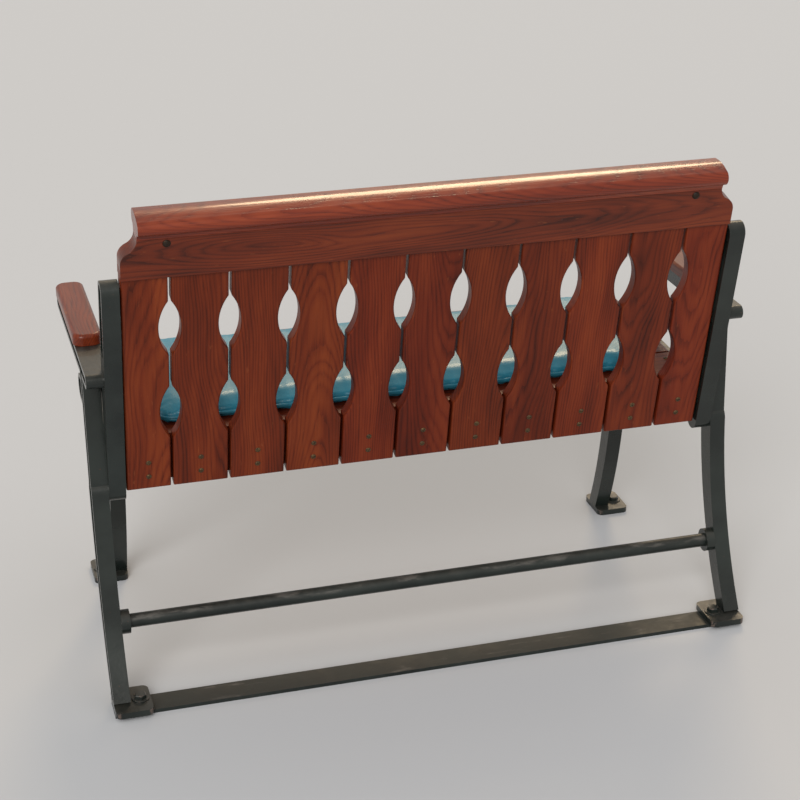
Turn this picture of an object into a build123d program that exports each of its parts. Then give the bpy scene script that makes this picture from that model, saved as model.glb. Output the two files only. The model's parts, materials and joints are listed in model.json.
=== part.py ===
"""A two-seat slatted wooden bench seat of a tram, on cast iron end frames, with a loose seat pad.

Millimetres. +Z is up and +Y is the way the sitter faces, so the back of the bench looks along -Y.
The origin is on the floor, in the middle of the four floor bolts. The aisle end is at -X.
"""

from build123d import *
from math import cos, radians, sin, tan
import os

# Back: upright boards that share almond cut-outs, under a grooved header and a moulded cap
bench_height = 790
back_skirt = 80  # the back reaches so far below the seat
back_rake = 12
board_count = 11
board_pitch = 88
end_board_width = 68
slit_width = 4
board_thickness = 20
board_chamfer = 2  # round the boards' rear faces
almond_width = 33
almond_height = 98
almond_row_pitch = 148
lowest_almond_centre = 138  # up the board, from its lower end
almond_top_margin = 25
header_height = 64
header_cheek = 5
groove_depth = 15
groove_clearance = 0.2
shoulder_inset = 24
shoulder_drop = 38
cap_overhang = 15
nosing_radius = 11.5
cap_crown = 2.5
cove_height = 10

# Seat: lengthwise boards on two rails and cross bearers
seat_height = 405
seat_rake = 2
seat_board_count = 4
seat_board_pitch = 88
seat_board_thickness = 20
seat_back_gap = 8
seat_nosing_radius = 9
rail_height = 60
rail_thickness = 24
front_rail_setback = 30
bearer_width = 40
bearer_height = 45
bearer_count = 3
bearer_end_inset = 90

# Seat pad
pad_end_strip = 46
pad_back_strip = 20
pad_front_strip = 26
pad_thickness = 30
pad_corner_radius = 36
pad_clearance = 0.3

# Cast iron end frames in two layers: the upright and seat bar, and outside them the leg, strut and arm
frame_gap = 2
layer_thickness = 26
web_thickness = 12
rim_width = 6
upright_width = 34
upright_below_header = 6
seat_bar_width = 46
arm_above_seat = 145
arm_front_setback = 35
arm_bar_width = 22
arm_thickness = 40
strut_width = 26
strut_lean = 12
channel_setback = 50
lug_reach = 44
lug_height = 44
lug_thickness = 5
lug_radius = 12
lug_below_header = 50

# Wooden arm pads
arm_pad_length = 245
arm_pad_width = 44
arm_pad_thickness = 18
arm_pad_radius = 6
arm_pad_corner_radius = 16

# Legs and feet: the front legs stand inboard of the end frames
leg_top_width = 36
leg_width = 27
leg_bow = 22
foot_spacing = 440
foot_setback = 20  # behind the top of the back boards' front face
foot_length = 72
foot_thickness = 10
foot_reach = 32

# Floor bar and foot rail
floor_bar_width = 44
floor_bar_thickness = 6
floor_bolt_hole = 11
foot_rail_height = 120
foot_rail_diameter = 22
socket_diameter = 38
socket_depth = 14
socket_clearance = 0.2

# Sizes that follow
header_thickness = board_thickness + 2 * header_cheek
cap_depth = header_thickness + 2 * cap_overhang
back_bottom_height = seat_height - back_skirt
back_rise = bench_height - back_bottom_height
back_length = back_rise / cos(radians(back_rake))
back_width = (board_count - 2) * board_pitch + slit_width + 2 * end_board_width
header_top = back_length - 2 * nosing_radius - cap_crown - cove_height
header_bottom = header_top - header_height
board_length = header_bottom + groove_depth - groove_clearance
almond_room = header_bottom - almond_top_margin - almond_height / 2 - lowest_almond_centre
almond_rows = 1 + int(almond_room / almond_row_pitch)
back_foot_y = -foot_spacing / 2
front_foot_y = foot_spacing / 2
back_line_y = back_foot_y + foot_setback + back_rise * tan(radians(back_rake))
seat_line_y = back_line_y - back_skirt * tan(radians(back_rake))
seat_depth = seat_back_gap + seat_board_count * seat_board_pitch - slit_width
front_rail_y = seat_depth - front_rail_setback - rail_thickness
pad_length = back_width - 2 * pad_end_strip
pad_depth = seat_depth - pad_back_strip - pad_front_strip
frame_inner_x = back_width / 2 + frame_gap
leg_inner_x = frame_inner_x + layer_thickness
frame_outer_x = leg_inner_x + layer_thickness
arm_middle_x = frame_outer_x - arm_thickness / 2
front_leg_outer_x = leg_inner_x - foot_reach
bolt_x = leg_inner_x - foot_reach / 2

# The back plane is the boards' front face, with its y axis up the boards and its normal to the rear
back_plane = Plane(
    origin=(0, back_line_y, back_bottom_height),
    x_dir=(1, 0, 0),
    z_dir=(0, -cos(radians(back_rake)), -sin(radians(back_rake))),
)
# The seat plane is the seat boards' top, with its y axis forward from the back
seat_plane = Plane(
    origin=(0, seat_line_y, seat_height),
    x_dir=(1, 0, 0),
    z_dir=(0, -sin(radians(seat_rake)), cos(radians(seat_rake))),
)


def back_at(up, out=0):
    """Point (y, z) of the side view, so far up the boards and so far out behind their front face."""
    point = back_plane.from_local_coords(Vector(0, up, out))
    return Vector(point.Y, point.Z)


def seat_at(forward, up=0):
    """Point (y, z) of the side view, so far forward on the seat and so far above its top."""
    point = seat_plane.from_local_coords(Vector(0, forward, up))
    return Vector(point.Y, point.Z)


def finish(part, label):
    """Labels a finished piece and writes its file."""
    part.label = label
    export_step(part, f"parts/{label}.step")


os.makedirs("parts", exist_ok=True)

# Back boards: each has half an almond in every edge that meets another board
rearward = Axis((0, 0, 0), back_plane.z_dir)
first_joint_x = -(board_count - 2) * board_pitch / 2
for number in range(1, board_count + 1):
    left_joint_x = first_joint_x + (number - 2) * board_pitch
    left_x = left_joint_x + slit_width / 2
    right_x = left_joint_x + board_pitch - slit_width / 2
    if number == 1:
        left_x = -back_width / 2
    if number == board_count:
        right_x = back_width / 2
    with BuildPart() as back_board:
        with BuildSketch(back_plane):
            with Locations(((left_x + right_x) / 2, board_length / 2)):
                Rectangle(right_x - left_x, board_length)
            for joint in (number - 1, number):
                if 1 <= joint < board_count:
                    joint_x = first_joint_x + (joint - 1) * board_pitch
                    for row in range(almond_rows):
                        centre = lowest_almond_centre + row * almond_row_pitch
                        low = (joint_x, centre - almond_height / 2)
                        high = (joint_x, centre + almond_height / 2)
                        with BuildLine():
                            ThreePointArc(low, (joint_x + almond_width / 2, centre), high)
                            ThreePointArc(high, (joint_x - almond_width / 2, centre), low)
                        make_face(mode=Mode.SUBTRACT)
        extrude(amount=board_thickness)
        chamfer(back_board.faces().sort_by(rearward)[-1].edges(), board_chamfer)
    finish(back_board.part, f"back_board_{number:02d}")

# Header: its ends drop in an ogee to the full width, and its groove takes the boards' upper ends
with BuildPart() as back_header:
    header_front = (board_thickness - header_thickness) / 2
    shoulder_x = back_width / 2 - shoulder_inset
    with BuildSketch(back_plane.offset(header_front)):
        with BuildLine():
            Line((-shoulder_x, header_top), (shoulder_x, header_top))
            for side in (-1, 1):
                upper = Vector(side * shoulder_x, header_top)
                lower = Vector(side * back_width / 2, header_top - shoulder_drop)
                TangentArc(upper, (upper + lower) / 2, tangent=(0, -1))
                TangentArc(lower, (upper + lower) / 2, tangent=(0, 1))
                Line(lower, (lower.X, header_bottom))
            Line((-back_width / 2, header_bottom), (back_width / 2, header_bottom))
        make_face()
    extrude(amount=header_thickness)
    with BuildSketch(back_plane.offset(-groove_clearance)):
        with Locations((0, header_bottom + groove_depth / 2)):
            Rectangle(back_width, groove_depth)
    extrude(amount=board_thickness + 2 * groove_clearance, mode=Mode.SUBTRACT)
finish(back_header.part, "back_header")

# Cap: a crowned nosing on a cove, as long as the header's top
cap_section = Plane(
    origin=(-shoulder_x, back_line_y, back_bottom_height),
    x_dir=(0, cos(radians(back_rake)), sin(radians(back_rake))),
    z_dir=(1, 0, 0),
)
with BuildPart() as back_cap:
    with BuildSketch(cap_section):
        cap_middle = -board_thickness / 2
        nosing_bottom = header_top + cove_height
        nosing_top = nosing_bottom + 2 * nosing_radius
        nosing_x = cap_depth / 2 - nosing_radius
        with BuildLine():
            Line(
                (cap_middle - header_thickness / 2, header_top),
                (cap_middle + header_thickness / 2, header_top),
            )
            for side in (-1, 1):
                cove_foot = Vector(cap_middle + side * header_thickness / 2, header_top)
                nosing_foot = Vector(cap_middle + side * nosing_x, nosing_bottom)
                nosing_head = Vector(cap_middle + side * nosing_x, nosing_top)
                nosing_tip = Vector(cap_middle + side * cap_depth / 2, nosing_bottom + nosing_radius)
                TangentArc(cove_foot, nosing_foot, tangent=(0, 1))
                ThreePointArc(nosing_foot, nosing_tip, nosing_head)
            ThreePointArc(
                (cap_middle - nosing_x, nosing_top),
                (cap_middle, nosing_top + cap_crown),
                (cap_middle + nosing_x, nosing_top),
            )
        make_face()
    extrude(amount=2 * shoulder_x)
finish(back_cap.part, "back_cap")

# Seat boards: the front one has the nosing, and all have their ends' top edges rounded
forward = Axis((0, 0, 0), seat_plane.y_dir)
for number in range(1, seat_board_count + 1):
    rear_y = seat_back_gap + (number - 1) * seat_board_pitch
    board_width = seat_board_pitch - slit_width
    with BuildPart() as seat_board:
        with BuildSketch(seat_plane.offset(-seat_board_thickness)):
            with Locations((0, rear_y + board_width / 2)):
                Rectangle(back_width, board_width)
        extrude(amount=seat_board_thickness)
        fillet(seat_board.edges().filter_by(forward).group_by(Axis.Z)[-1], seat_nosing_radius)
        if number == seat_board_count:
            fillet(seat_board.edges().filter_by(Axis.X).group_by(forward)[-1], seat_nosing_radius)
    finish(seat_board.part, f"seat_board_{number}")

# Rear seat rail: its rear face lies on the back boards, which are screwed to it
with BuildPart() as seat_rear_rail:
    with BuildSketch(seat_plane.offset(-seat_board_thickness)):
        with Locations((0, 0)):
            Rectangle(2 * frame_inner_x, 2 * (seat_back_gap + rail_thickness))
    extrude(amount=-rail_height)
    split(bisect_by=back_plane, keep=Keep.BOTTOM)
finish(seat_rear_rail.part, "seat_rear_rail")

with BuildPart() as seat_front_rail:
    with BuildSketch(seat_plane.offset(-seat_board_thickness)):
        with Locations((0, front_rail_y + rail_thickness / 2)):
            Rectangle(2 * frame_inner_x, rail_thickness)
    extrude(amount=-rail_height)
finish(seat_front_rail.part, "seat_front_rail")

# Cross bearers between the two rails
for number in range(1, bearer_count + 1):
    bearer_run = back_width - 2 * bearer_end_inset
    bearer_x = -bearer_run / 2 + (number - 1) * bearer_run / (bearer_count - 1)
    bearer_rear_y = seat_back_gap + rail_thickness
    with BuildPart() as seat_bearer:
        with BuildSketch(seat_plane.offset(-seat_board_thickness)):
            with Locations((bearer_x, (bearer_rear_y + front_rail_y) / 2)):
                Rectangle(bearer_width, front_rail_y - bearer_rear_y)
        extrude(amount=-bearer_height)
    finish(seat_bearer.part, f"seat_bearer_{number}")

# Seat pad
with BuildPart() as seat_pad:
    with BuildSketch(seat_plane.offset(pad_clearance)):
        with Locations((0, pad_back_strip + pad_depth / 2)):
            RectangleRounded(pad_length, pad_depth, pad_corner_radius)
    extrude(amount=pad_thickness)
finish(seat_pad.part, "seat_pad")

# End frame in the side view: the ends of its bars' centre lines
bar_line = -seat_board_thickness - rail_height / 2
arm_bar_top = seat_height + arm_above_seat - arm_pad_thickness
arm_line = arm_bar_top - arm_bar_width / 2
arm_tip_y = seat_at(seat_depth).X - arm_front_setback
corner = back_at(0, board_thickness / 2)
upright_head = back_at(header_bottom - upright_below_header - upright_width / 2, board_thickness / 2)
arm_rear = Vector(corner.X - (arm_line - corner.Y) * tan(radians(back_rake)), arm_line)
arm_front = Vector(arm_tip_y - arm_bar_width / 2, arm_line)
strut_head = Vector(corner.X + strut_lean, arm_bar_top - rim_width - strut_width / 2)
seat_bar_rear = seat_at(seat_back_gap, bar_line)
seat_bar_front = seat_at(front_rail_y + rail_thickness / 2, bar_line)
upright_channel_foot = arm_rear + (upright_head - corner).normalized() * channel_setback
seat_bar_channel_rear = seat_bar_rear + (seat_bar_front - seat_bar_rear).normalized() * channel_setback
back_leg_foot = Vector(back_foot_y, floor_bar_thickness + foot_thickness / 2)
back_leg_middle = (corner + back_leg_foot) / 2 + Vector(leg_bow, 0)
back_leg_line = ThreePointArc(back_leg_foot, back_leg_middle, corner)
foot_rail_centre = back_leg_line.intersect(Axis((0, foot_rail_height, 0), (1, 0, 0)))[0]
front_leg_top = seat_at(front_rail_y - leg_top_width / 2, bar_line)
front_leg_foot = Vector(front_foot_y, foot_thickness / 2)
front_leg_middle = (front_leg_top + front_leg_foot) / 2 - Vector(leg_bow, 0)


def straight_bar(start, end, width):
    """A straight bar of the side view, with round ends."""
    across = (end - start).normalized().rotate(Axis.Z, 90) * width / 2
    with BuildSketch() as bar:
        with BuildLine():
            Polyline(start + across, end + across, end - across, start - across, close=True)
        make_face()
        with Locations(start, end):
            Circle(width / 2)
    return bar.sketch


def leg_outline(top, middle, foot, inset):
    """A curved leg's outline in the side view, wider at the top, drawn in by an inset."""
    centre_line = ThreePointArc(top, middle, foot)
    widths = (leg_top_width, (leg_top_width + leg_width) / 2, leg_width)
    front, rear = [
        [
            centre_line @ at + (centre_line % at).rotate(Axis.Z, 90) * side * (width / 2 - inset)
            for at, width in zip((0, 0.5, 1), widths)
        ]
        for side in (1, -1)
    ]
    with BuildSketch() as outline:
        with BuildLine():
            ThreePointArc(*front)
            Line(front[-1], rear[-1])
            ThreePointArc(*rear)
            Line(rear[0], front[0])
        make_face()
        with Locations(top):
            Circle(leg_top_width / 2 - inset)
    return outline.sketch


for label, side in (("aisle_end_frame", -1), ("wall_end_frame", 1)):
    with BuildPart() as end_frame:
        leg_plane = Plane.YZ.offset(side * leg_inner_x)
        outer_plane = Plane.YZ.offset(side * frame_outer_x)
        with BuildSketch(leg_plane):
            add(straight_bar(corner, upright_head, upright_width))
            add(straight_bar(seat_bar_rear, seat_bar_front, seat_bar_width))
            add(straight_bar(seat_bar_rear, corner, upright_width))
        extrude(amount=-side * layer_thickness)
        with BuildSketch(leg_plane):
            add(straight_bar(upright_channel_foot, upright_head, upright_width - 2 * rim_width))
            add(straight_bar(seat_bar_channel_rear, seat_bar_front, seat_bar_width - 2 * rim_width))
        extrude(amount=-side * (layer_thickness - web_thickness), mode=Mode.SUBTRACT)
        with BuildSketch(outer_plane):
            add(straight_bar(arm_rear, arm_front, arm_bar_width))
        extrude(amount=-side * arm_thickness)
        with BuildSketch(outer_plane):
            add(straight_bar(corner, strut_head, strut_width))
            add(leg_outline(corner, back_leg_middle, back_leg_foot, 0))
        extrude(amount=-side * layer_thickness)
        with BuildSketch(outer_plane):
            add(straight_bar(arm_rear, arm_front, arm_bar_width - 2 * rim_width))
            add(straight_bar(corner, strut_head, strut_width - 2 * rim_width))
            add(leg_outline(corner, back_leg_middle, back_leg_foot, rim_width))
        extrude(amount=-side * (layer_thickness - web_thickness), mode=Mode.SUBTRACT)
        # The leg ends level with the foot's underside
        split(bisect_by=Plane.XY.offset(floor_bar_thickness), keep=Keep.TOP)
        with BuildSketch(Plane.XY.offset(floor_bar_thickness)):
            with Locations((side * (frame_outer_x + front_leg_outer_x) / 2, back_foot_y)):
                RectangleRounded(frame_outer_x - front_leg_outer_x, foot_length, foot_thickness)
            with Locations((side * bolt_x, back_foot_y)):
                Circle(floor_bolt_hole / 2, mode=Mode.SUBTRACT)
        extrude(amount=foot_thickness)
        # Socket for the foot rail
        with BuildSketch(leg_plane):
            with Locations(foot_rail_centre):
                Circle(socket_diameter / 2)
                Circle(foot_rail_diameter / 2 + socket_clearance, mode=Mode.SUBTRACT)
        extrude(amount=-side * socket_depth)
        # Lug on the front face of the outermost back board
        with BuildSketch(back_plane.offset(-lug_thickness)) as lug:
            with Locations((side * (frame_inner_x - lug_reach / 2), header_bottom - lug_below_header)):
                Rectangle(lug_reach, lug_height)
            fillet(lug.vertices().sort_by(lambda vertex: abs(vertex.X))[:2], lug_radius)
        extrude(amount=lug_thickness)
    finish(end_frame.part, label)

# Front legs: each top lies on the front rail's rear face, and each foot reaches outboard to its bolt
for label, side in (("aisle_front_leg", -1), ("wall_front_leg", 1)):
    with BuildPart() as front_leg:
        outer_plane = Plane.YZ.offset(side * front_leg_outer_x)
        with BuildSketch(outer_plane):
            add(leg_outline(front_leg_top, front_leg_middle, front_leg_foot, 0))
        extrude(amount=-side * layer_thickness)
        with BuildSketch(outer_plane):
            add(leg_outline(front_leg_top, front_leg_middle, front_leg_foot, rim_width))
        extrude(amount=-side * (layer_thickness - web_thickness), mode=Mode.SUBTRACT)
        split(bisect_by=Plane.XY, keep=Keep.TOP)
        with BuildSketch():
            with Locations((side * (front_leg_outer_x + (foot_reach - layer_thickness) / 2), front_foot_y)):
                RectangleRounded(foot_reach + layer_thickness, foot_length, foot_thickness)
            with Locations((side * bolt_x, front_foot_y)):
                Circle(floor_bolt_hole / 2, mode=Mode.SUBTRACT)
        extrude(amount=foot_thickness)
    finish(front_leg.part, label)

# Wooden arm pads on the frames' arms, level with the arms' front ends
for label, side in (("aisle_arm_pad", -1), ("wall_arm_pad", 1)):
    with BuildPart() as arm_pad:
        with BuildSketch(Plane.XY.offset(arm_bar_top)):
            with Locations((side * arm_middle_x, arm_tip_y - arm_pad_length / 2)):
                RectangleRounded(arm_pad_width, arm_pad_length, arm_pad_corner_radius)
        extrude(amount=arm_pad_thickness)
        fillet(arm_pad.edges().group_by(Axis.Z)[-1], arm_pad_radius)
    finish(arm_pad.part, label)

# Foot rail, between the back legs
with BuildPart() as foot_rail:
    with BuildSketch(Plane.YZ.offset(-leg_inner_x)):
        with Locations(foot_rail_centre):
            Circle(foot_rail_diameter / 2)
    extrude(amount=2 * leg_inner_x)
finish(foot_rail.part, "foot_rail")

# Floor bar under the back feet, with its floor bolts' holes
with BuildPart() as back_floor_bar:
    with BuildSketch():
        with Locations((0, back_foot_y)):
            Rectangle(2 * frame_outer_x, floor_bar_width)
        with Locations((-bolt_x, back_foot_y), (bolt_x, back_foot_y)):
            Circle(floor_bolt_hole / 2, mode=Mode.SUBTRACT)
    extrude(amount=floor_bar_thickness)
finish(back_floor_bar.part, "back_floor_bar")
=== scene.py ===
"""The looks of a slatted wooden tram bench seat on cast iron end frames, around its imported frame.

Metres, +Z up, in the frame's own coordinates: +Y is the way the sitter faces, and the aisle end
is at -X.
"""

import json
import math
import random

import bmesh
import bpy
from mathutils import Matrix, Vector, kdtree
from mathutils.bvhtree import BVHTree


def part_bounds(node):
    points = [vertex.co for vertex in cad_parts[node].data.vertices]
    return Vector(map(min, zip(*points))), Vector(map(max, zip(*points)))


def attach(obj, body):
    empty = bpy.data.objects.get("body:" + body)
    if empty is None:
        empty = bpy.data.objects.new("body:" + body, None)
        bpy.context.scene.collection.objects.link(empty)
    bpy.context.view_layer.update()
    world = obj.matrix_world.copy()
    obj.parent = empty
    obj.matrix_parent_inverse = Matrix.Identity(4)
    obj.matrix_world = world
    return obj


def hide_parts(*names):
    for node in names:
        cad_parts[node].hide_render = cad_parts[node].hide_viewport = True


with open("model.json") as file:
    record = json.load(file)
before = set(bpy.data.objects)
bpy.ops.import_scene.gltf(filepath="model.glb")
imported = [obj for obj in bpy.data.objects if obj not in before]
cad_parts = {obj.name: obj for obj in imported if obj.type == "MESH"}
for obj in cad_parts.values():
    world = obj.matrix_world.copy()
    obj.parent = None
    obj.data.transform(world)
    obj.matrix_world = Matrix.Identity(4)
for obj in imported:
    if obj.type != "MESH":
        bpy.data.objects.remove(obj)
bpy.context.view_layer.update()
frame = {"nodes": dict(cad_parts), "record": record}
nodes = frame["nodes"]

UP = Vector((0, 0, 1))
RIGHT = Vector((1, 0, 0))
FORWARD = Vector((0, 1, 0))
MILLIMETRE = 0.001
roughly_along = 0.7

# Camera: where the photograph was taken from, turned to the bench
camera_place = Vector((-0.77, -2.675, 1.587))
camera_target = Vector((0.0, 0.0, 0.365))
camera_lens = 84

# Stage: a floor and a sky whose colours meet at the horizon
floor_reach = 20
floor_colour = (0.521, 0.538, 0.564, 1)
floor_roughness = 0.9
floor_gloss = 0.1
sky_colour = (1.0, 0.975, 0.94, 1)
sky_strength = 0.62

# Soft suns, one from behind the bench and a warmer one from before it:
# name, spread in degrees, strength, colour, and a point on the side that it shines from
suns = (
    ("key", 38, 2.2, (1.0, 0.97, 0.93), Vector((-2.2, -4.2, 2.8))),
    ("window", 16, 1.0, (1.0, 0.76, 0.48), Vector((0.9, 2.2, 1.85))),
)

# Varnished oak: stains from the pores to the light wood, worn edges, and the stains' ramp
wood_dark = (0.030, 0.0045, 0.0020)
wood_middle = (0.118, 0.0158, 0.0046)
wood_light = (0.218, 0.0390, 0.0100)
wood_worn = (0.360, 0.1120, 0.0340)
stain_places = (0.12, 0.42, 0.78)
brush_depth = 0.00026
pore_depth = 0.00014

# Growth rings: how far the grain is shifted along a board, ring width, and where the pith may lie
board_shift = 9
ring_width = 0.0042
pith_across = (-0.085, 0.050)
pith_depth = (0.0, 0.05)
pith_lean = (0.04, 0.12)
ring_sway = 0.036
ring_wander = 0.06

# Cast iron and steel under black-green paint
paint_dark = (0.0060, 0.0088, 0.0078)
paint_light = (0.0150, 0.0205, 0.0180)
rust_colour = (0.090, 0.0340, 0.0150)
steel_colour = (0.170, 0.1600, 0.1480)
dust_colour = (0.120, 0.1030, 0.0850)
rub_stretch = (0.25, 1, 1)
cast_depth = 0.00045
chip_depth = 0.00025

# Screws and plugs: bare metal and its tarnish
bronze_bare = (0.20, 0.125, 0.055)
bronze_aged = (0.022, 0.014, 0.009)
plug_bare = (0.045, 0.028, 0.016)
plug_aged = (0.010, 0.006, 0.004)
pit_depth = 0.00012

# Rounded edges, and what counts as one point, as one flat face and as an edge
wood_bevel = 0.0011
cap_bevel = 0.0006
arm_pad_bevel = 0.0008
iron_bevel = 0.0018
bar_bevel = 0.0010
rail_bevel = 0.0005
weld_reach = 0.00001
flat_angle = math.radians(0.6)
edge_angle = math.radians(32)

# Turquoise vinyl pad. Its first two colours are the turquoise in painted shade and in painted
# sunlight.
vinyl_painted_shade = (0.010, 0.165, 0.255)
vinyl_painted_sunlight = (0.036, 0.310, 0.450)
vinyl_soil = (0.020, 0.085, 0.100)
piping_tone = 0.8
crease_depth = 0.00025
pebble_depth = 0.00014
pad_corner = 0.036
pad_inset = 0.005
pad_rise = 0.012
pad_voxel = 0.006
pad_side_rows = 4
pad_bow = 0.004
pad_fairing = 4
cloth_frames = 20
cloth_settings = {
    "quality": 5,
    "mass": 0.25,
    "tension_stiffness": 20,
    "compression_stiffness": 20,
    "bending_stiffness": 1.5,
    "use_pressure": True,
    "uniform_pressure_force": 4,
}

# Where each sitter sits
dip_depth = 0.0034
dip_reach = Vector((0.13, 0.10))
dip_x = 0.205

# Seams round the pad's rims, their piping and their puckers
piping_radius = 0.0027
piping_step = 0.004
piping_sides = 10
piping_smoothing = 6
rim_slant = 0.75
rim_clearance = 0.03
seam_depth = 0.0011
seam_reach = 0.0045
pucker_height = 0.00264
pucker_reach = 0.024
pucker_start = 0.004
pucker_lengths = (0.0156, 0.0247, 0.0338, 0.0429, 0.0520)
pucker_seed = 7

# Fasteners. A profile's points are (share of the radius, height), from its base up to its axis.
screw_radius = 0.0042
screw_profile = (
    (1, -0.0008), (1, 0.0003), (0.93, 0.0008), (0.7, 0.0013), (0.4, 0.0016), (0, 0.0017)
)
screw_sides = 24
slot_cutter = (2.4 * screw_radius, 0.0012, 0.002)
slot_height = 0.0016
plug_radius = 0.0060
plug_inset = 0.066
plug_drop = 0.014
coach_radius = 0.0085
dome_rise = 0.42
dome_steps = 6
dome_sides = 28
bolt_across = 0.017
bolt_height = 0.0068
bolt_chamfer = 0.0014
bolt_top_share = 0.86
bolt_sunk = 0.0002
washer_radius = 0.0135
washer_height = 0.0018
washer_chamfer = 0.0005
washer_sides = 32

# Where fasteners lie: shares of a piece's height or depth, and distances
back_screw_shares = (0.30, 0.72)
pair_shares = (0.28, 0.72)
seat_screw_inset = 0.022
arm_screw_reach = 0.075
coach_bolt_reach = 0.014
lug_margin = 0.001
outside = 1.0
above_foot = 0.1
clear_of_hole = 0.7 * washer_radius
first_turning_seed = 11


def span(node, direction):
    """(lowest, highest) of a CAD node's points along a direction."""
    along = [v.co.dot(direction) for v in nodes[node].data.vertices]
    return min(along), max(along)


def facing(node, towards):
    """The normal of the largest flat side of a CAD node that looks roughly along a direction."""
    areas = {}
    for polygon in nodes[node].data.polygons:
        if polygon.normal.dot(towards) > roughly_along:
            key = tuple(round(c, 3) for c in polygon.normal)
            areas[key] = areas.get(key, 0) + polygon.area
    return Vector(max(areas, key=areas.get)).normalized()


def middle(node):
    """The centre of a CAD node's box."""
    low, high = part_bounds(node)
    return (low + high) / 2


def between(low, high, share):
    """The value a share of the way from low to high."""
    return low + (high - low) * share


def part_box(node, keep):
    """Lowest and highest corner of the box round the points of a CAD node that a test keeps."""
    points = [v.co for v in nodes[node].data.vertices if keep(v.co)]
    low = Vector([min(p[k] for p in points) for k in range(3)])
    high = Vector([max(p[k] for p in points) for k in range(3)])
    return low, high


def struck(node, start, heading):
    """(point, normal) where a line from start along heading first meets a dressed CAD node."""
    tree = BVHTree.FromObject(nodes[node], bpy.context.evaluated_depsgraph_get())
    point, normal, _, _ = tree.ray_cast(start, heading)
    return point, normal


back_boards = sorted(n for n in nodes if n.startswith("back_board_"))
seat_boards = sorted(n for n in nodes if n.startswith("seat_board_"))
bearers = sorted(n for n in nodes if n.startswith("seat_bearer_"))
iron_nodes = sorted(n for n in nodes if n.endswith(("_end_frame", "_front_leg")))
back_normal = facing("back_header", FORWARD)
back_up = RIGHT.cross(back_normal).normalized()
seat_normal = facing("seat_pad", UP)
seat_forward = seat_normal.cross(RIGHT).normalized()


class Recipe:
    """One material's nodes. Each call adds a node and gives back its output socket."""

    def __init__(self, name):
        self.material = bpy.data.materials.new(name)
        self.material.use_nodes = True
        self.tree = self.material.node_tree
        self.shader = self.tree.nodes["Principled BSDF"]
        self.point = self.add("TexCoord", output="Object")

    def feed(self, socket, value):
        if isinstance(value, bpy.types.NodeSocket):
            self.tree.links.new(value, socket)
        elif socket.type == "RGBA" and len(value) == 3:
            socket.default_value = (*value, 1)
        else:
            socket.default_value = value

    def add(self, kind, inputs=None, output=0, **settings):
        node = self.tree.nodes.new(f"ShaderNode{kind}")
        for name, value in settings.items():
            setattr(node, name, value)
        for name, value in (inputs or {}).items():
            self.feed(node.inputs[name], value)
        return node.outputs[output]

    def sum(self, a, b):
        return self.add("Math", {0: a, 1: b}, operation="ADD")

    def times(self, a, b):
        return self.add("Math", {0: a, 1: b}, operation="MULTIPLY")

    def remap(self, value, low, high, to_low=0.0, to_high=1.0):
        ends = {"From Min": low, "From Max": high, "To Min": to_low, "To Max": to_high}
        return self.add("MapRange", {"Value": value, **ends}, interpolation_type="SMOOTHSTEP")

    def dot(self, vector, direction):
        inputs = {0: vector, 1: tuple(direction)}
        return self.add("VectorMath", inputs, output="Value", operation="DOT_PRODUCT")

    def vector(self, x, y, z):
        return self.add("CombineXYZ", {"X": x, "Y": y, "Z": z})

    def noise(self, vector, scale, detail=2.0, roughness=0.5):
        inputs = {"Vector": vector, "Scale": scale, "Detail": detail, "Roughness": roughness}
        return self.add("TexNoise", inputs, output="Fac")

    def mix(self, factor, a, b):
        node = self.tree.nodes.new("ShaderNodeMix")
        node.data_type = "RGBA"
        for socket, value in ((node.inputs[0], factor), (node.inputs[6], a), (node.inputs[7], b)):
            self.feed(socket, value)
        return node.outputs[2]

    def ramp(self, value, stops):
        node = self.tree.nodes.new("ShaderNodeValToRGB")
        self.feed(node.inputs[0], value)
        elements = node.color_ramp.elements
        while len(elements) < len(stops):
            elements.new(0.5)
        for element, (position, colour) in zip(elements, stops):
            element.position = position
            element.color = (*colour, 1)
        return node.outputs[0]

    def bump(self, height, distance, normal=None):
        inputs = {"Height": height, "Distance": distance}
        if normal is not None:
            inputs["Normal"] = normal
        return self.add("Bump", inputs)

    def edges(self, direction):
        """1 on bevelled edges round the sides that look along a direction, and 0 on those sides and
        on the walls between them."""
        turned = self.dot(self.add("NewGeometry", output="True Normal"), direction)
        squared = self.times(turned, turned)
        rest = self.add("Math", {0: 1.0, 1: squared}, operation="SUBTRACT")
        return self.remap(self.times(squared, rest), 0.02, 0.2)

    def upward(self, low, high):
        """0 to 1 as the surface turns to look up."""
        return self.remap(self.dot(self.add("NewGeometry", output="Normal"), UP), low, high)

    def finish(self, base, roughness, normal, constants):
        self.feed(self.shader.inputs["Base Color"], base)
        self.feed(self.shader.inputs["Roughness"], roughness)
        self.feed(self.shader.inputs["Normal"], normal)
        for name, value in constants.items():
            self.shader.inputs[name].default_value = value
        return self.material


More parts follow.
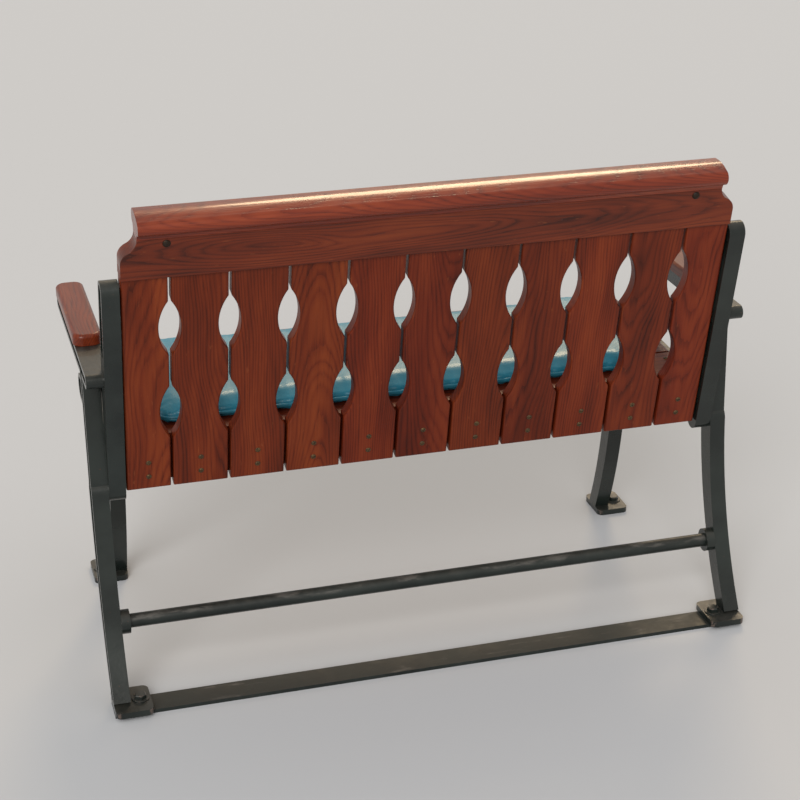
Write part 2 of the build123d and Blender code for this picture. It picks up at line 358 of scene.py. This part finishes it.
def wood(node, grain, face, seed, gloss, wear, tone):
    """Stained, varnished oak. Its grain runs along grain, and its broad faces look along face."""
    draw = random.Random(seed)
    recipe = Recipe(f"oak_{node}")
    centre = tuple(middle(node))
    place = recipe.add("VectorMath", {0: recipe.point, 1: centre}, operation="SUBTRACT")
    run, across, depth = (recipe.dot(place, d) for d in (grain, grain.cross(face), face))
    along = recipe.sum(run, draw.uniform(-board_shift, board_shift))

    def drawn_out(share):
        """The place in the board, with its way along the grain cut to a share."""
        return recipe.vector(across, depth, recipe.times(along, share))

    # Growth rings about a pith that lies behind the board and leans along it
    wide, deep = recipe.times(across, 3.0), recipe.times(depth, 3.0)
    slow = recipe.vector(wide, deep, recipe.times(along, 0.9))
    sway = recipe.times(recipe.noise(slow, scale=4.0, detail=1.0), ring_sway)
    wander = recipe.times(recipe.noise(slow, scale=2.3, roughness=0.6), ring_wander)
    width = recipe.sum(across, recipe.sum(sway, draw.uniform(*pith_across)))
    lean = draw.choice((-1, 1)) * draw.uniform(*pith_lean)
    height = recipe.sum(recipe.times(run, lean), recipe.sum(wander, draw.uniform(*pith_depth)))
    height = recipe.sum(depth, height)
    from_pith = recipe.vector(width, height, 0.0)
    radius = recipe.add("VectorMath", {0: from_pith}, output="Value", operation="LENGTH")
    season = recipe.noise(recipe.vector(radius, 0.0, 0.0), scale=60.0)
    ripple = recipe.noise(drawn_out(0.05), scale=170.0, detail=3.0)
    rings = recipe.sum(recipe.times(radius, 1 / ring_width), recipe.times(season, 1.8))
    rings = recipe.sum(rings, recipe.times(ripple, 0.8))
    ring = recipe.add("Math", {0: rings}, operation="FRACT")
    early = recipe.remap(ring, 0.0, 0.45, 1.0, 0.0)
    early = recipe.times(early, recipe.remap(season, 0.35, 0.65, 0.45, 1.0))
    late = recipe.remap(ring, 0.62, 1.0, 0.0, 0.35)

    # Pores and streaks along the grain
    streaks = recipe.noise(drawn_out(0.03), scale=420.0)
    porous = recipe.sum(recipe.times(early, 0.7), 0.3)
    pores = recipe.times(recipe.remap(streaks, 0.50, 0.66), porous)
    cloud = recipe.noise(drawn_out(0.14), scale=26.0, detail=3.0, roughness=0.6)
    shade = recipe.sum(recipe.times(cloud, 0.80), recipe.times(recipe.sum(early, late), -0.20))
    shade = recipe.sum(shade, draw.uniform(0.02, 0.12))
    bright = tone * draw.uniform(0.88, 1.12)
    green = draw.uniform(0.92, 1.14)
    tint = (bright, bright * green, bright)
    stops = []
    for position, stain in zip(stain_places, (wood_dark, wood_middle, wood_light)):
        stops.append((position, tuple(c * t for c, t in zip(stain, tint))))
    colour = recipe.ramp(shade, stops)
    colour = recipe.mix(recipe.times(pores, 0.45), colour, wood_dark)

    # Worn edges and a few scratches
    patches = recipe.noise(recipe.point, scale=30.0, detail=3.0, roughness=0.55)
    worn_patches = recipe.remap(patches, 0.70 - 0.3 * wear, 1.0 - 0.35 * wear)
    rubbed = recipe.times(recipe.edges(face), worn_patches)
    colour = recipe.mix(recipe.times(rubbed, 0.6 * wear), colour, wood_worn)
    scuff = recipe.noise(drawn_out(0.22), scale=240.0, detail=1.0)
    scratches = recipe.times(recipe.remap(scuff, 0.70, 0.76), recipe.remap(patches, 0.48, 0.62))
    colour = recipe.mix(recipe.times(scratches, 0.3 * wear), colour, wood_worn)

    # Smeared varnish over brushed, open-pored wood
    smears = recipe.noise(drawn_out(0.3), scale=16.0, detail=3.0)
    roughness = recipe.remap(smears, 0.25, 0.75, 0.48 - 0.22 * gloss, 0.62 - 0.26 * gloss)
    dulled = recipe.sum(rubbed, recipe.times(scratches, 0.5))
    roughness = recipe.sum(roughness, recipe.times(dulled, 0.12))
    normal = recipe.bump(recipe.noise(drawn_out(0.1), scale=95.0), brush_depth)
    hollows = recipe.sum(recipe.times(pores, -1.0), recipe.times(early, -0.3))
    normal = recipe.bump(hollows, pore_depth, normal)
    varnish = {
        "Specular IOR Level": 0.02 + 0.22 * gloss,
        "Coat Weight": 0.02 + 0.36 * gloss,
        "Coat Roughness": 0.20 - 0.12 * gloss,
    }
    return recipe.finish(colour, roughness, normal, varnish)


def paint(name, face, gloss=1.0, chips=0.5, scuffs=0.0):
    """Old black-green paint, chipped at its edges, dusty on top and rubbed where trodden."""
    recipe = Recipe(name)
    cloud = recipe.noise(recipe.point, scale=9.0, detail=4.0, roughness=0.6)
    colour = recipe.mix(recipe.remap(cloud, 0.3, 0.75), paint_dark, paint_light)
    spots = recipe.noise(recipe.point, scale=120.0, detail=5.0, roughness=0.7)
    flakes = recipe.remap(spots, 0.58 - 0.12 * chips, 0.66 - 0.12 * chips)
    edge = recipe.times(recipe.edges(face), flakes)
    nicks = recipe.noise(recipe.point, scale=210.0, detail=3.0, roughness=0.6)
    nicks = recipe.remap(nicks, 0.72, 0.76)
    flaws = {0: recipe.times(edge, 0.8), 1: recipe.times(nicks, 0.7)}
    chipped = recipe.add("Math", flaws, operation="MAXIMUM")
    bare = recipe.times(edge, 0.45)
    if scuffs:
        place = recipe.add("VectorMath", {0: recipe.point, 1: rub_stretch}, operation="MULTIPLY")
        rub = recipe.noise(place, scale=60.0, detail=5.0, roughness=0.65)
        trodden = recipe.remap(rub, 0.64 - 0.18 * scuffs, 0.84 - 0.18 * scuffs)
        bare = recipe.times(recipe.times(recipe.upward(0.1, 0.9), trodden), 0.7)
    colour = recipe.mix(chipped, colour, rust_colour)
    colour = recipe.mix(bare, colour, steel_colour)
    lint = recipe.noise(recipe.point, scale=55.0, detail=5.0, roughness=0.7)
    dust = recipe.times(recipe.upward(0.35, 0.95), recipe.remap(lint, 0.25, 0.8, 0.04, 0.24))
    colour = recipe.mix(dust, colour, dust_colour)
    roughness = recipe.remap(cloud, 0.25, 0.75, 0.44 - 0.22 * gloss, 0.56 - 0.22 * gloss)
    dulled = recipe.sum(recipe.times(chipped, 0.35), recipe.times(dust, 1.3))
    roughness = recipe.sum(roughness, dulled)
    cast = recipe.noise(recipe.point, scale=260.0, detail=3.0, roughness=0.55)
    swell = recipe.noise(recipe.point, scale=42.0)
    normal = recipe.bump(recipe.sum(recipe.times(cast, 0.35), swell), cast_depth)
    normal = recipe.bump(recipe.times(chipped, -1.0), chip_depth, normal)
    recipe.feed(recipe.shader.inputs["Metallic"], recipe.times(bare, 0.8))
    enamel = {
        "Specular IOR Level": 0.35,
        "Coat Weight": 0.25 * gloss,
        "Coat Roughness": 0.34 - 0.26 * gloss,
    }
    return recipe.finish(colour, roughness, normal, enamel)


def vinyl(name, tone=1.0):
    """Turquoise vinyl with a fine embossed grain, a little soiled, its colour blended by noise
    between painted shade and painted sunlight.
    """
    recipe = Recipe(name)
    cloud = recipe.noise(recipe.point, scale=7.0, detail=4.0, roughness=0.6)
    # Painted light and shade: the turquoise in shade and in sunlight, blended by noise
    deep, light = (tuple(c * tone for c in colour) for colour in (vinyl_painted_shade, vinyl_painted_sunlight))
    colour = recipe.mix(recipe.remap(cloud, 0.25, 0.75, 0.25, 0.75), deep, light)
    specks = recipe.noise(recipe.point, scale=90.0, detail=6.0, roughness=0.75)
    soil = recipe.times(recipe.remap(specks, 0.58, 0.76), recipe.remap(cloud, 0.35, 0.7, 0.7, 0.1))
    colour = recipe.mix(recipe.times(soil, 0.4), colour, vinyl_soil)
    roughness = recipe.sum(recipe.remap(cloud, 0.2, 0.8, 0.33, 0.42), recipe.times(soil, 0.15))
    grain = {"Vector": recipe.point, "Scale": 620.0}
    pebble = recipe.add("TexVoronoi", grain, output="Distance", feature="SMOOTH_F1")
    normal = recipe.bump(recipe.noise(recipe.point, scale=150.0, detail=3.0), crease_depth)
    normal = recipe.bump(pebble, pebble_depth, normal)
    gloss = {"Specular IOR Level": 0.4, "Coat Weight": 0.08}
    return recipe.finish(colour, roughness, normal, gloss)


def metal(name, colour, patina):
    """Aged bare metal, as of old screws."""
    recipe = Recipe(name)
    spots = recipe.noise(recipe.point, scale=480.0, detail=4.0, roughness=0.7)
    tarnish = recipe.remap(spots, 0.35, 0.62)
    recipe.feed(recipe.shader.inputs["Metallic"], recipe.remap(tarnish, 0.0, 1.0, 0.95, 0.35))
    aged = recipe.mix(tarnish, colour, patina)
    roughness = recipe.remap(spots, 0.3, 0.7, 0.32, 0.62)
    return recipe.finish(aged, roughness, recipe.bump(spots, pit_depth), {})


def put(name, data):
    """A new object in the scene."""
    thing = bpy.data.objects.new(name, data)
    bpy.context.scene.collection.objects.link(thing)
    return thing


def mesh_from(name, shape):
    """The mesh of a bmesh, which is freed."""
    mesh = bpy.data.meshes.new(name)
    shape.to_mesh(mesh)
    shape.free()
    return mesh


def applied(piece):
    """The piece's mesh with its modifiers applied."""
    found = piece.evaluated_get(bpy.context.evaluated_depsgraph_get())
    return bpy.data.meshes.new_from_object(found)


def new_piece(name, mesh, material, smooth=True):
    """A new piece of the model, which rides on the bench and wears the given material."""
    piece = put(name, mesh)
    for polygon in mesh.polygons:
        polygon.use_smooth = smooth
    mesh.materials.append(material)
    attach(piece, "root")
    return piece


def dress(node, material, bevel, segments=2):
    """Gives a CAD node its material, with small rounded edges on clean faces."""
    piece = nodes[node]
    if not piece.material_slots:
        piece.data.materials.append(material)
    for slot in piece.material_slots:
        slot.link = "OBJECT"
        slot.material = material
    piece.modifiers.new("weld", "WELD").merge_threshold = weld_reach
    flatten = piece.modifiers.new("flatten", "DECIMATE")
    flatten.decimate_type = "DISSOLVE"
    flatten.angle_limit = flat_angle
    rounding = piece.modifiers.new("rounding", "BEVEL")
    rounding.width = bevel
    rounding.segments = segments
    rounding.limit_method = "ANGLE"
    rounding.angle_limit = edge_angle
    rounding.miter_outer = "MITER_ARC"
    piece.modifiers.new("tidied", "WELD").merge_threshold = weld_reach
    piece.modifiers.new("normals", "WEIGHTED_NORMAL").keep_sharp = False


def dress_wood():
    """The boards, rails, header, cap and arm pads, each with its own run of grain."""
    rails = ("seat_rear_rail", "seat_front_rail")
    arm_pads = ("aisle_arm_pad", "wall_arm_pad")
    # Nodes, grain, broad faces' normal, first seed, gloss, wear, tone, bevel
    rows = (
        (back_boards, back_up, back_normal, 0, 0.45, 0.45, 1.0, wood_bevel),
        (seat_boards, RIGHT, seat_normal, 40, 0.5, 0.7, 1.0, wood_bevel),
        (bearers, seat_forward, seat_normal, 60, 0.1, 0.3, 1.0, wood_bevel),
        (rails, RIGHT, seat_forward, 70, 0.4, 0.5, 1.0, wood_bevel),
        (("back_header",), RIGHT, back_normal, 81, 0.75, 0.5, 1.0, wood_bevel),
        (("back_cap",), RIGHT, back_up, 82, 1.0, 0.3, 1.25, cap_bevel),
        (arm_pads, FORWARD, UP, 90, 0.7, 0.8, 1.1, arm_pad_bevel),
    )
    for group, grain, face, first_seed, gloss, wear, tone, bevel in rows:
        for seed, node in enumerate(group, start=first_seed):
            dress(node, wood(node, grain, face, seed, gloss, wear, tone), bevel)


def dress_iron():
    """The castings, the floor bar and the foot rail."""
    iron = paint("iron_paint", RIGHT, chips=0.8)
    for node in iron_nodes:
        dress(node, iron, iron_bevel, segments=3)
    dress("back_floor_bar", paint("bar_paint", UP, gloss=0.2, chips=0.8, scuffs=0.4), bar_bevel)
    dress("foot_rail", paint("rail_paint", RIGHT, gloss=0.5, chips=0.4, scuffs=0.8), rail_bevel)


def pad_matrix():
    """From the pad's own (across, forward, up), from the middle of its base, to the frame."""
    basis = Matrix((RIGHT, seat_forward, seat_normal)).transposed().to_4x4()
    base = middle("seat_pad")
    base = base + seat_normal * (span("seat_pad", seat_normal)[0] - base.dot(seat_normal))
    return Matrix.Translation(base) @ basis


def pad_size():
    """The pad's length, depth and thickness."""
    ends = [span("seat_pad", direction) for direction in (RIGHT, seat_forward, seat_normal)]
    return [high - low for low, high in ends]


def pad_outline(length, depth, radius, step):
    """Points and outward directions round a rectangle with round corners, about step apart."""
    ring = []
    corners = ((1, 1, 0), (-1, 1, 90), (-1, -1, 180), (1, -1, 270))
    turns = max(4, round(radius * math.pi / 2 / step))
    for index, (sx, sy, start) in enumerate(corners):
        centre = Vector((sx * (length / 2 - radius), sy * (depth / 2 - radius)))
        for turn in range(turns + 1):
            angle = math.radians(start + 90 * turn / turns)
            out = Vector((math.cos(angle), math.sin(angle)))
            ring.append((centre + out * radius, out))
        next_sy = corners[(index + 1) % 4][1]
        run = (length if sy == next_sy else depth) - 2 * radius
        last, out = ring[-1]
        heading = Vector((-out.y, out.x))
        count = max(1, round(run / step))
        for i in range(1, count):
            ring.append((last + heading * run * i / count, out))
    return ring


def pad_slab(length, depth, thickness, radius):
    """The pad before it is blown up: a slab whose sides bow out a little."""
    shape = bmesh.new()
    outline = pad_outline(length, depth, radius, pad_voxel)
    rows = []
    for row in range(pad_side_rows + 1):
        share = row / pad_side_rows
        bow = pad_bow * math.sin(math.pi * share)
        ring = [point + out * (bow - pad_bow) for point, out in outline]
        rows.append([shape.verts.new((*point, share * thickness)) for point in ring])
    for lower, upper in zip(rows, rows[1:]):
        for i in range(len(lower)):
            j = (i + 1) % len(lower)
            shape.faces.new((lower[i], lower[j], upper[j], upper[i]))
    shape.faces.new(rows[-1])
    shape.faces.new(list(reversed(rows[0])))
    return mesh_from("pad_slab", shape)


def blown_pad(slab, most):
    """The slab remeshed and filled by cloth pressure. No point moves further than most."""
    piece = put("pad_start", slab)
    remesh = piece.modifiers.new("remesh", "REMESH")
    remesh.mode = "VOXEL"
    remesh.voxel_size = pad_voxel
    even = applied(piece)
    piece.modifiers.clear()
    piece.data = even
    start = [v.co.copy() for v in even.vertices]
    settings = piece.modifiers.new("cloth", "CLOTH").settings
    for name, value in cloth_settings.items():
        setattr(settings, name, value)
    settings.effector_weights.gravity = 0
    for number in range(1, cloth_frames + 1):
        bpy.context.scene.frame_set(number)
    blown = applied(piece)
    for vertex, first in zip(blown.vertices, start):
        move = vertex.co - first
        vertex.co = first + move.normalized() * most * math.tanh(move.length / most)
    bpy.context.scene.frame_set(1)
    bpy.data.objects.remove(piece)
    return blown


def smooth_ring(points, passes):
    """A closed ring of points, each moved to the mean of itself and its neighbours."""
    count = len(points)
    for _ in range(passes):
        points = [(points[i - 1] + points[i] + points[(i + 1) % count]) / 3 for i in range(count)]
    return points


def tube(name, ring, radius, sides):
    """A round tube along a closed ring of points."""
    shape = bmesh.new()
    count = len(ring)
    loops = []
    for i, point in enumerate(ring):
        heading = (ring[(i + 1) % count] - ring[i - 1]).normalized()
        out = heading.cross(UP).normalized()
        lift = out.cross(heading)
        loop = []
        for side in range(sides):
            angle = 2 * math.pi * side / sides
            offset = out * math.cos(angle) + lift * math.sin(angle)
            loop.append(shape.verts.new(point + offset * radius))
        loops.append(loop)
    for i in range(count):
        for side in range(sides):
            a, b = loops[i], loops[(i + 1) % count]
            shape.faces.new((a[side], b[side], b[(side + 1) % sides], a[(side + 1) % sides]))
    bmesh.ops.recalc_face_normals(shape, faces=shape.faces)
    return mesh_from(name, shape)


def seam_ring(tree, outline, from_above, thickness):
    """Where a seam lies round the blown pad: the first point met by a slanted look at its rim."""
    look_up = 1 if from_above else -1
    rim = thickness if from_above else 0.0
    ring = []
    for point, out in outline:
        aim = Vector((*point, rim))
        outward = Vector((*out, rim_slant * look_up)).normalized()
        hit = tree.ray_cast(aim + outward * rim_clearance, -outward)[0]
        ring.append(hit if hit is not None else aim)
    return smooth_ring(ring, piping_smoothing)


def sew(mesh, rings, thickness):
    """Draws the vinyl in along the seams, puckers it there and presses in each sitter's dip."""
    draw = random.Random(pucker_seed)
    seams = kdtree.KDTree(sum(len(ring) for ring in rings))
    travel = []
    for ring in rings:
        for i, point in enumerate(ring):
            seams.insert(point, len(travel))
            travel.append(i * piping_step)
    seams.balance()
    waves = [(length, draw.uniform(0, 2 * math.pi)) for length in pucker_lengths]
    normals = [v.normal.copy() for v in mesh.vertices]
    for vertex, normal in zip(mesh.vertices, normals):
        _, nearest, distance = seams.find(vertex.co)
        seam = -seam_depth * math.exp(-((distance / seam_reach) ** 2))
        wave = 0.0
        for length, phase in waves:
            wave += math.sin(2 * math.pi * travel[nearest] / length + phase) / len(waves)
        fade = math.exp(-distance / pucker_reach) * min(1, distance / pucker_start)
        vertex.co += normal * (seam + pucker_height * wave * fade)
        if vertex.co.z > thickness / 2:
            for x in (-dip_x, dip_x):
                away = ((vertex.co.x - x) / dip_reach.x) ** 2 + (vertex.co.y / dip_reach.y) ** 2
                vertex.co.z -= dip_depth * math.exp(-away)
        vertex.co.z = max(vertex.co.z, 0.0)


def make_pad():
    """The seat pad: blown by cloth pressure, then sewn, with piping round both of its rims."""
    length, depth, thickness = pad_size()
    rim_length, rim_depth = length - 2 * pad_inset, depth - 2 * pad_inset
    rim_radius = pad_corner - pad_inset
    slab = pad_slab(rim_length, rim_depth, thickness - pad_rise, rim_radius)
    mesh = blown_pad(slab, pad_rise)
    for vertex in mesh.vertices:
        vertex.co.z = max(vertex.co.z, 0.0)
    tree = BVHTree.FromPolygons([v.co for v in mesh.vertices], [p.vertices for p in mesh.polygons])
    outline = pad_outline(rim_length, rim_depth, rim_radius, piping_step)
    rings = [seam_ring(tree, outline, above, thickness - pad_rise) for above in (True, False)]
    sheet = put("pad_sheet", mesh)
    sheet.modifiers.new("fairing", "SMOOTH").iterations = pad_fairing
    finer = sheet.modifiers.new("finer", "SUBSURF")
    finer.levels = finer.render_levels = 1
    final = applied(sheet)
    bpy.data.objects.remove(sheet)
    sew(final, rings, thickness)
    place = pad_matrix()
    final.transform(place)
    cushion = new_piece("seat_cushion", final, vinyl("vinyl_pad"))
    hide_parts("seat_pad")
    trim = vinyl("vinyl_piping", tone=piping_tone)
    for name, ring in zip(("top_piping", "bottom_piping"), rings):
        ring = [Vector((p.x, p.y, max(p.z, piping_radius))) for p in ring]
        mesh = tube(name, ring, piping_radius, piping_sides)
        mesh.transform(place)
        new_piece(name, mesh, trim)


def turned_form(shape, profile, sides):
    """Faces of a closed turned form, from (radius, height) pairs that end on its axis."""
    loops = []
    for radius, height in profile[:-1]:
        loop = []
        for side in range(sides):
            angle = 2 * math.pi * side / sides
            x, y = radius * math.cos(angle), radius * math.sin(angle)
            loop.append(shape.verts.new((x, y, height)))
        loops.append(loop)
    for lower, upper in zip(loops, loops[1:]):
        for i in range(sides):
            shape.faces.new((lower[i], lower[(i + 1) % sides], upper[(i + 1) % sides], upper[i]))
    top = shape.verts.new((0, 0, profile[-1][1]))
    for i in range(sides):
        shape.faces.new((loops[-1][i], loops[-1][(i + 1) % sides], top))
    shape.faces.new(list(reversed(loops[0])))


def screw_head():
    """A slotted round screw head that stands a little proud, with +Z out of the wood."""
    shape = bmesh.new()
    profile = [(share * screw_radius, height) for share, height in screw_profile]
    turned_form(shape, profile, screw_sides)
    blank = put("screw_blank", mesh_from("screw_blank", shape))
    shape = bmesh.new()
    place = Matrix.Translation((0, 0, slot_height)) @ Matrix.Diagonal((*slot_cutter, 1))
    bmesh.ops.create_cube(shape, size=1, matrix=place)
    cutter = put("screw_slot", mesh_from("screw_slot", shape))
    cut = blank.modifiers.new("cut", "BOOLEAN")
    cut.object = cutter
    cut.operation = "DIFFERENCE"
    cut.solver = "EXACT"
    head = applied(blank)
    bpy.data.objects.remove(blank)
    bpy.data.objects.remove(cutter)
    return head


def bolt_head():
    """A hexagon bolt head on a washer, with +Z out of the part."""
    shape = bmesh.new()
    w, top = washer_radius, washer_height
    washer = [(w, 0), (w, top - washer_chamfer), (w - washer_chamfer, top), (0, top)]
    turned_form(shape, washer, washer_sides)
    corner = bolt_across / math.sqrt(3)
    low, high = top - bolt_sunk, top + bolt_height
    head = [(corner, low), (corner, high - bolt_chamfer)]
    head += [(bolt_top_share * corner, high), (0, high)]
    turned_form(shape, head, 6)
    return mesh_from("bolt_head", shape)


def dome_head(radius):
    """A round carriage bolt head, with +Z out of the wood."""
    shape = bmesh.new()
    profile = [(radius, 0)]
    for step in range(1, dome_steps):
        angle = math.pi / 2 * step / dome_steps
        profile.append((radius * math.cos(angle), radius * dome_rise * math.sin(angle)))
    profile.append((0, radius * dome_rise))
    turned_form(shape, profile, dome_sides)
    return mesh_from("dome_head", shape)


def copies(name, master, places, material, slot, smooth, seed):
    """One piece of many copies of a master mesh. Each place is (point, outward direction)."""
    draw = random.Random(seed)
    shape = bmesh.new()
    for point, out in places:
        turn = Matrix.Rotation(draw.uniform(0, math.pi), 4, "Z")
        stand = out.to_track_quat("Z", "Y").to_matrix().to_4x4()
        copy = master.copy()
        copy.transform(Matrix.Translation(point) @ stand @ turn)
        shape.from_mesh(copy)
        bpy.data.meshes.remove(copy)
    new_piece(name, mesh_from(name, shape), material, smooth)


def back_screw_places():
    """Two screws in each back board, on its back, into the rear seat rail."""
    low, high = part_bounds("seat_rear_rail")
    places = []
    for node in back_boards:
        for share in back_screw_shares:
            start = Vector((middle(node).x, -outside, between(low.z, high.z, share)))
            places.append(struck(node, start, FORWARD))
    return places


def plug_places():
    """A plug near each end of the header, on its back."""
    _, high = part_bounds("back_header")
    places = []
    for side in (-1, 1):
        start = Vector((side * (high.x - plug_inset), -outside, high.z - plug_drop))
        places.append(struck("back_header", start, FORWARD))
    return places


def seat_screw_places():
    """Two screws at each end of the first and last seat boards, on top."""
    places = []
    for node in (seat_boards[0], seat_boards[-1]):
        low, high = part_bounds(node)
        for x in (low.x + seat_screw_inset, high.x - seat_screw_inset):
            for share in pair_shares:
                start = Vector((x, between(low.y, high.y, share), outside))
                places.append(struck(node, start, -UP))
    return places


def lug_screw_places(casting, side):
    """Two screws in the lug that holds the back, on its front."""
    header_low, header_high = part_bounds("back_header")
    edge, above = header_high.x, header_low.z / 2
    low, high = part_box(casting, lambda p: abs(p.x) < edge - lug_margin and p.z > above)
    x = between((low.x + high.x) / 2, side * edge, 0.5)
    starts = [Vector((x, outside, between(low.z, high.z, share))) for share in pair_shares]
    return [struck(casting, start, -FORWARD) for start in starts]


def arm_screw_places(casting, arm_pad):
    """Two screws up through the arm into its wooden pad."""
    _, rail_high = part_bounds("seat_rear_rail")
    centre = middle(arm_pad)
    reaches = (-arm_screw_reach, arm_screw_reach)
    starts = [Vector((centre.x, centre.y + reach, rail_high.z)) for reach in reaches]
    return [struck(casting, start, UP) for start in starts]


def floor_bolt_places(casting, leg, side):
    """A bolt in each foot of one end, in the record's bolt pattern and on the foot's own top."""
    pattern = next(m for m in frame["record"]["mounts"] if m["name"] == "floor_bolts")["dims"]
    x = side * pattern["spacing_x_mm"] / 2 * MILLIMETRE
    y = pattern["spacing_y_mm"] / 2 * MILLIMETRE
    places = []
    for node, foot_y in ((casting, -y), (leg, y)):
        rim, _ = struck(node, Vector((x, foot_y + clear_of_hole, above_foot)), -UP)
        places.append((Vector((x, foot_y, rim.z)), UP))
    return places


def coach_bolt_places(leg, rail_z):
    """Two bolts in the front seat rail, where a front leg is fixed behind it."""
    low, high = part_box(leg, lambda p: p.z > rail_z / 2)
    x = (low.x + high.x) / 2
    starts = [Vector((x, outside, rail_z + rise)) for rise in (-coach_bolt_reach, coach_bolt_reach)]
    return [struck("seat_front_rail", start, -FORWARD) for start in starts]


def make_fasteners():
    """Screws and bolts where one piece is fixed to the next."""
    front_rail = middle("seat_front_rail")
    lug_screws, arm_screws, rail_bolts, floor_bolts, coach_bolts = [], [], [], [], []
    for side, end in ((-1, "aisle"), (1, "wall")):
        casting, leg, arm_pad = f"{end}_end_frame", f"{end}_front_leg", f"{end}_arm_pad"
        lug_screws += lug_screw_places(casting, side)
        arm_screws += arm_screw_places(casting, arm_pad)
        start = Vector((side * outside, front_rail.y, front_rail.z))
        rail_bolts.append(struck(casting, start, RIGHT * -side))
        floor_bolts += floor_bolt_places(casting, leg, side)
        coach_bolts += coach_bolt_places(leg, front_rail.z)
    screw, bolt = screw_head(), bolt_head()
    plug, coach = dome_head(plug_radius), dome_head(coach_radius)
    bronze = metal("screw_metal", bronze_bare, bronze_aged)
    blackened = metal("plug_metal", plug_bare, plug_aged)
    iron = paint("bolt_paint", UP, chips=0.7)
    # Name, one fastener's mesh, places, material, slot, whether its faces are smooth
    rows = (
        ("back_board_screws", screw, back_screw_places(), bronze, "varnished_boards", False),
        ("header_plugs", plug, plug_places(), blackened, "varnished_cap", True),
        ("seat_board_screws", screw, seat_screw_places(), bronze, "varnished_boards", False),
        ("lug_screws", screw, lug_screws, bronze, "enamelled_iron", False),
        ("arm_pad_screws", screw, arm_screws, bronze, "enamelled_iron", False),
        ("rail_bolts", bolt, rail_bolts, iron, "enamelled_iron", False),
        ("floor_bolts", bolt, floor_bolts, iron, "enamelled_iron", False),
        ("coach_bolts", coach, coach_bolts, iron, "enamelled_iron", True),
    )
    for seed, row in enumerate(rows, start=first_turning_seed):
        copies(*row, seed)


def make_camera():
    """The camera, where the photograph was taken from."""
    data = bpy.data.cameras.new("camera")
    data.lens = camera_lens
    camera = put("camera", data)
    camera.location = camera_place
    camera.rotation_euler = (camera_target - camera_place).to_track_quat("-Z", "Y").to_euler()
    bpy.context.scene.camera = camera


def make_stage():
    """A plain pale floor, even light from all round, and two soft suns."""
    r = floor_reach
    mesh = bpy.data.meshes.new("floor")
    mesh.from_pydata([(-r, -r, 0), (r, -r, 0), (r, r, 0), (-r, r, 0)], [], [(0, 1, 2, 3)])
    paper = Recipe("floor_paper")
    paper.shader.inputs["Base Color"].default_value = floor_colour
    paper.shader.inputs["Roughness"].default_value = floor_roughness
    paper.shader.inputs["Specular IOR Level"].default_value = floor_gloss
    mesh.materials.append(paper.material)
    floor = put("floor", mesh)
    world = bpy.data.worlds.new("world")
    world.use_nodes = True
    sky = world.node_tree.nodes["Background"]
    sky.inputs["Color"].default_value = sky_colour
    sky.inputs["Strength"].default_value = sky_strength
    bpy.context.scene.world = world
    for name, spread, strength, colour, place in suns:
        sun = bpy.data.lights.new(name, "SUN")
        sun.angle = math.radians(spread)
        sun.energy = strength
        sun.color = colour
        lamp = put(name, sun)
        lamp.location = place
        lamp.rotation_euler = place.to_track_quat("Z", "Y").to_euler()


dress_wood()
dress_iron()
make_pad()
make_fasteners()
make_camera()
make_stage()
bpy.context.scene.view_settings.view_transform = "Standard"
